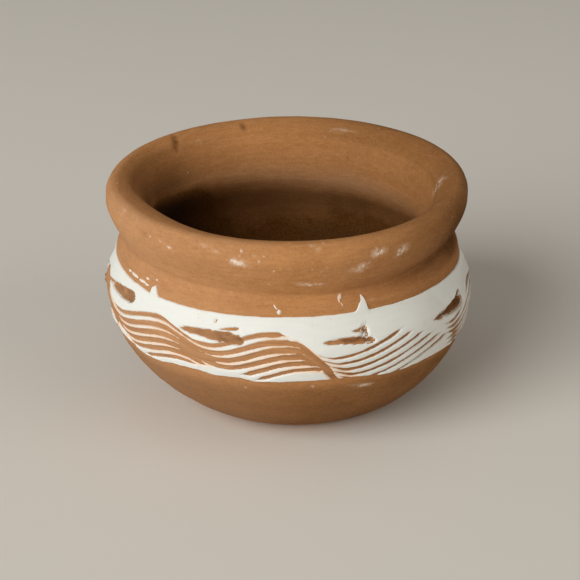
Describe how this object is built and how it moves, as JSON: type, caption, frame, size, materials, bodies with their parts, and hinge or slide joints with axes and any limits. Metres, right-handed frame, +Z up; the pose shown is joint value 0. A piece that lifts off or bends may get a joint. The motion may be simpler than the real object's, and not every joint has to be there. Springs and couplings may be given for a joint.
{
  "type": "terracotta planter",
  "caption": "Round-bellied hand-thrown clay plant pot with a fat rolled rim, a drain hole and a white slip band combed in waves and gouged with dashes.",
  "frame": {"origin": "middle of the foot, on the surface that the pot stands on", "axes": "+Z up along the axis the pot was thrown on; -Y faces the picture's viewer; +X to the viewer's right"},
  "size_m": [0.1129, 0.113, 0.0686],
  "materials": {
    "terracotta": "unglazed fired clay, matt",
    "white_slip": "fired white slip, matt"
  },
  "bodies": {
    "root": {"clay_body": "terracotta", "slip_collar": "white_slip", "slip_drop_1": "white_slip", "slip_drop_2": "white_slip", "slip_drop_3": "white_slip", "slip_drop_4": "white_slip", "slip_hem": "white_slip", "slip_ridge_1_1": "white_slip", "slip_ridge_1_2": "white_slip", "slip_ridge_1_3": "white_slip", "slip_ridge_1_4": "white_slip", "slip_ridge_1_5": "white_slip", "slip_ridge_2_1": "white_slip", "slip_ridge_2_2": "white_slip", "slip_ridge_2_3": "white_slip", "slip_ridge_2_4": "white_slip", "slip_ridge_2_5": "white_slip", "slip_ridge_3_1": "white_slip", "slip_ridge_3_2": "white_slip", "slip_ridge_3_3": "white_slip", "slip_ridge_3_4": "white_slip", "slip_ridge_3_5": "white_slip", "slip_ridge_4_1": "white_slip", "slip_ridge_4_2": "white_slip", "slip_ridge_4_3": "white_slip", "slip_ridge_4_4": "white_slip", "slip_ridge_4_5": "white_slip", "slip_ridge_5_1": "white_slip", "slip_ridge_5_2": "white_slip", "slip_ridge_5_3": "white_slip", "slip_ridge_5_4": "white_slip", "slip_ridge_5_5": "white_slip", "slip_ridge_6_1": "white_slip", "slip_ridge_6_2": "white_slip", "slip_ridge_6_3": "white_slip", "slip_ridge_6_4": "white_slip", "slip_ridge_6_5": "white_slip", "slip_ridge_7_1": "white_slip", "slip_ridge_7_2": "white_slip", "slip_ridge_7_3": "white_slip", "slip_ridge_7_4": "white_slip", "slip_ridge_7_5": "white_slip", "slip_ridge_8_1": "white_slip", "slip_ridge_8_2": "white_slip", "slip_ridge_8_3": "white_slip", "slip_ridge_8_4": "white_slip", "slip_ridge_8_5": "white_slip", "slip_ridge_9_1": "white_slip", "slip_ridge_9_2": "white_slip", "slip_ridge_9_3": "white_slip", "slip_ridge_9_4": "white_slip", "slip_ridge_9_5": "white_slip"}
  },
  "joints": []
}
